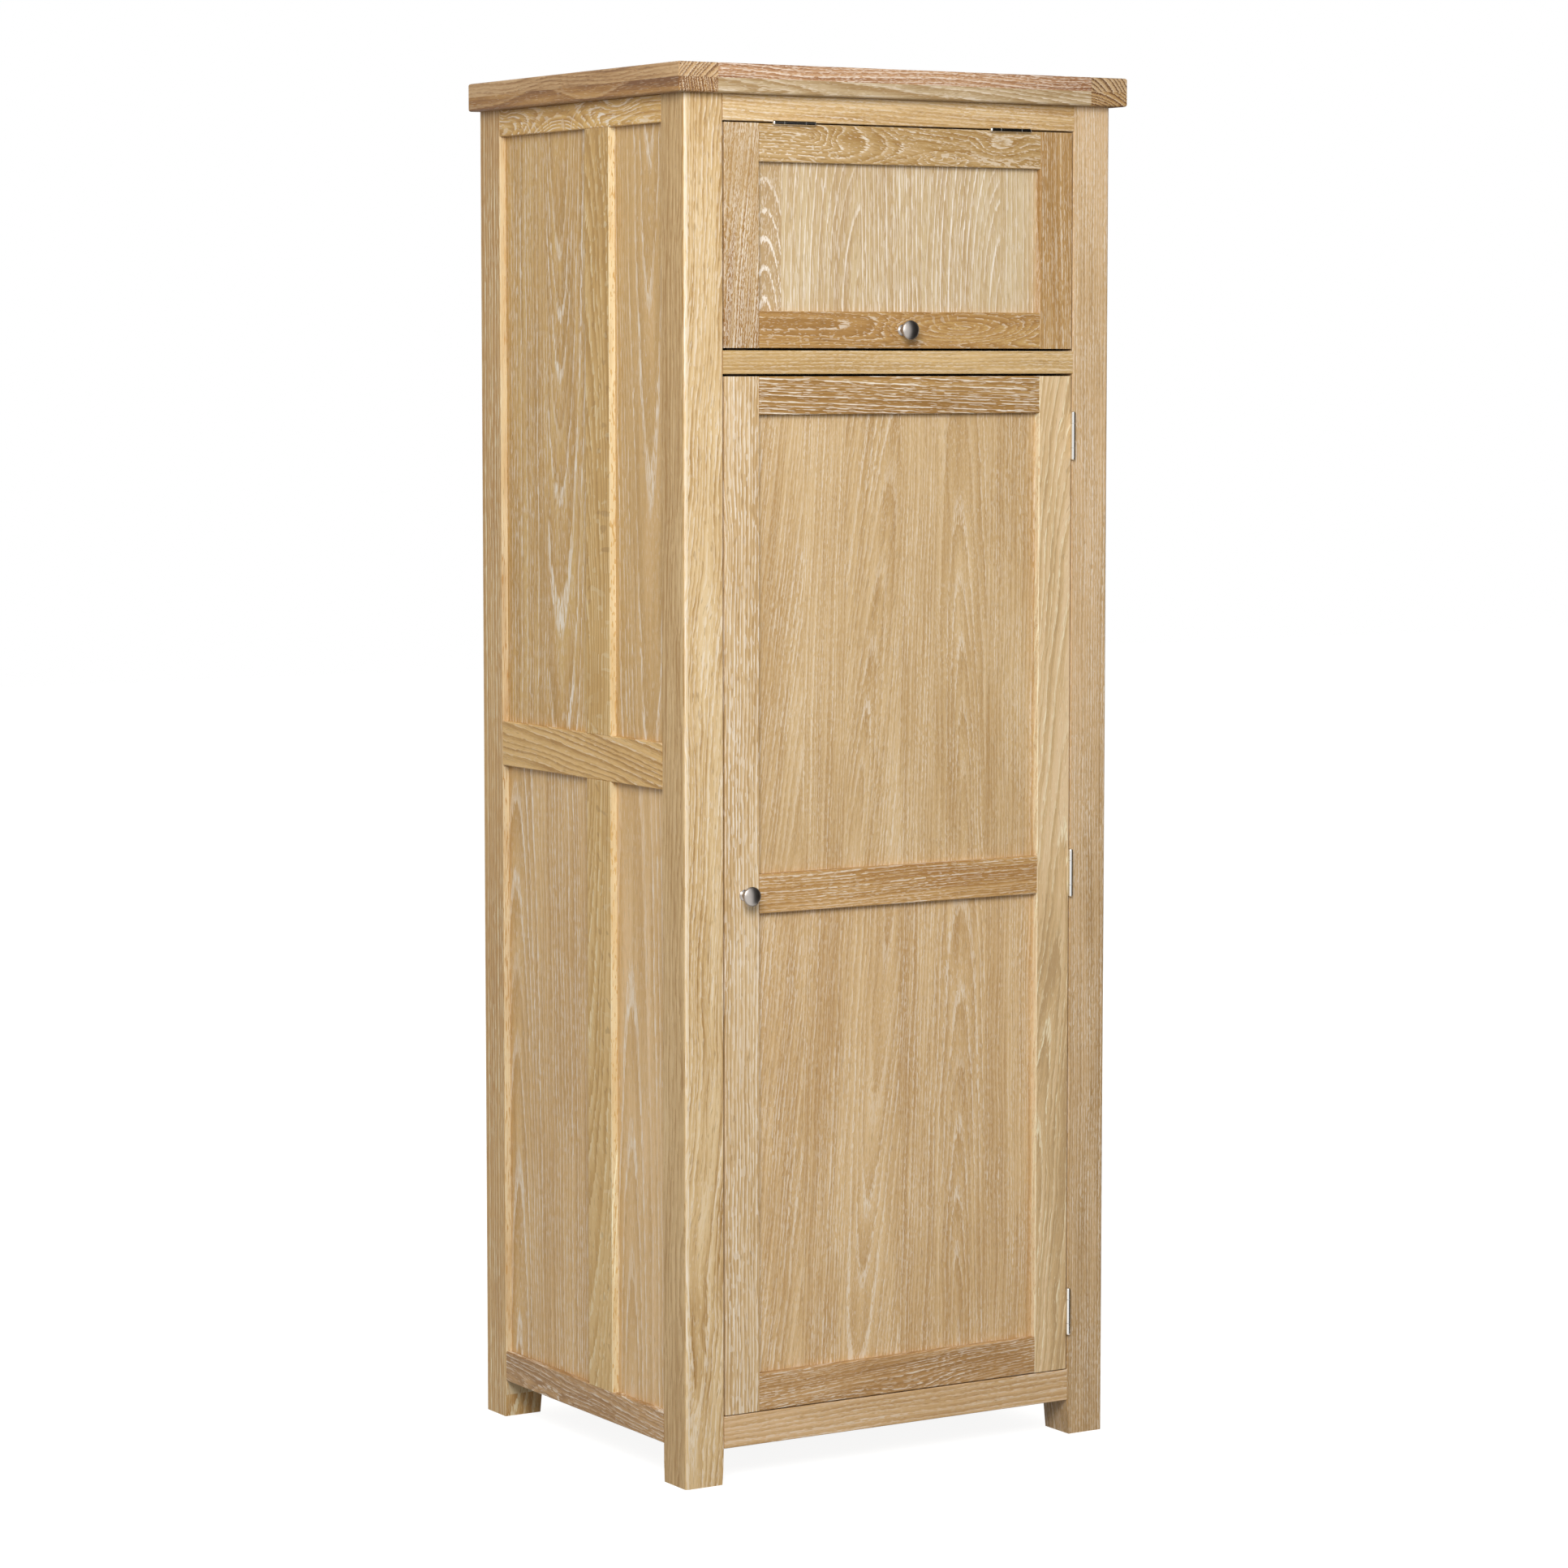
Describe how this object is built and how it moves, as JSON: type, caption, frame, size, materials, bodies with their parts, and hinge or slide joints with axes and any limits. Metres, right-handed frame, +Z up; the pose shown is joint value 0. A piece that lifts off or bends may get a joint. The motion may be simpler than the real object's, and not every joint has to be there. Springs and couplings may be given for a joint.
{
  "type": "pantry cabinet",
  "caption": "Tall frame-and-panel pantry cabinet: side-hung door with shelves behind, top-hung flap above it, square posts that run down as feet.",
  "frame": {"origin": "on the floor, under the middle of the overall box, from the knobs' tips to the back", "axes": "+Z up, -Y out of the front, +X to the right seen from the front, where the door's hinges are"},
  "size_m": [0.68, 0.564, 1.8],
  "materials": {
    "oak_post": "limed oak, straight grain, satin",
    "oak_rail": "limed oak, satin",
    "oak_panel": "limed oak, dense pale pores, satin",
    "oak_top": "limed oak, satin",
    "oak_inside": "plain oiled oak",
    "satin_nickel": "satin nickel plate",
    "nickel_plate": "polished nickel-plated steel",
    "strike_steel": "zinc-plated steel",
    "catch_plastic": "brown moulded plastic"
  },
  "bodies": {
    "cabinet": {"back_bottom_rail": "oak_rail", "back_left_post": "oak_post", "back_panel": "oak_panel", "back_right_post": "oak_post", "back_top_rail": "oak_rail", "base_board": "oak_inside", "catches": "catch_plastic", "divider_board": "oak_inside", "door_hinge_frame_leaves": "nickel_plate", "door_hinge_pins": "nickel_plate", "flap_hinge_frame_leaves": "nickel_plate", "flap_hinge_pins": "nickel_plate", "frame_hinge_screws": "nickel_plate", "front_bottom_rail": "oak_rail", "front_left_post": "oak_post", "front_middle_rail": "oak_rail", "front_right_post": "oak_post", "front_top_rail": "oak_rail", "left_side_bottom_rail": "oak_rail", "left_side_lower_back_panel": "oak_panel", "left_side_lower_front_panel": "oak_panel", "left_side_middle_rail": "oak_rail", "left_side_muntins": "oak_rail", "left_side_top_rail": "oak_rail", "left_side_upper_back_panel": "oak_panel", "left_side_upper_front_panel": "oak_panel", "right_side_bottom_rail": "oak_rail", "right_side_middle_rail": "oak_rail", "right_side_muntins": "oak_rail", "right_side_panels": "oak_panel", "right_side_top_rail": "oak_rail", "shelf_cleats": "oak_inside", "shelves": "oak_inside", "top_board": "oak_top", "top_end_left": "oak_top", "top_end_right": "oak_top", "top_under_back": "oak_top", "top_under_front": "oak_top", "top_under_left": "oak_top", "top_under_right": "oak_top"},
    "flap": {"flap_bottom_rail": "oak_rail", "flap_hinge_moving_leaves": "nickel_plate", "flap_knob": "satin_nickel", "flap_left_stile": "oak_rail", "flap_panel": "oak_panel", "flap_right_stile": "oak_rail", "flap_screws": "nickel_plate", "flap_strike": "strike_steel", "flap_top_rail": "oak_rail"},
    "door": {"door_bottom_rail": "oak_rail", "door_hinge_moving_leaves": "nickel_plate", "door_knob": "satin_nickel", "door_left_stile": "oak_rail", "door_lower_panel": "oak_panel", "door_middle_rail": "oak_rail", "door_right_stile": "oak_rail", "door_screws": "nickel_plate", "door_strike": "strike_steel", "door_top_rail": "oak_rail", "door_upper_panel": "oak_panel"}
  },
  "joints": [
    {"name": "flap_lift", "type": "hinge", "parent": "cabinet", "child": "flap", "pos_m": [0, -0.2612, 1.729], "axis": [-1, 0, 0], "range_deg": [0, 150]},
    {"name": "door_swing", "type": "hinge", "parent": "cabinet", "child": "door", "pos_m": [0.266, -0.2612, 0.7515], "axis": [0, 0, 1], "range_deg": [0, 175]}
  ]
}
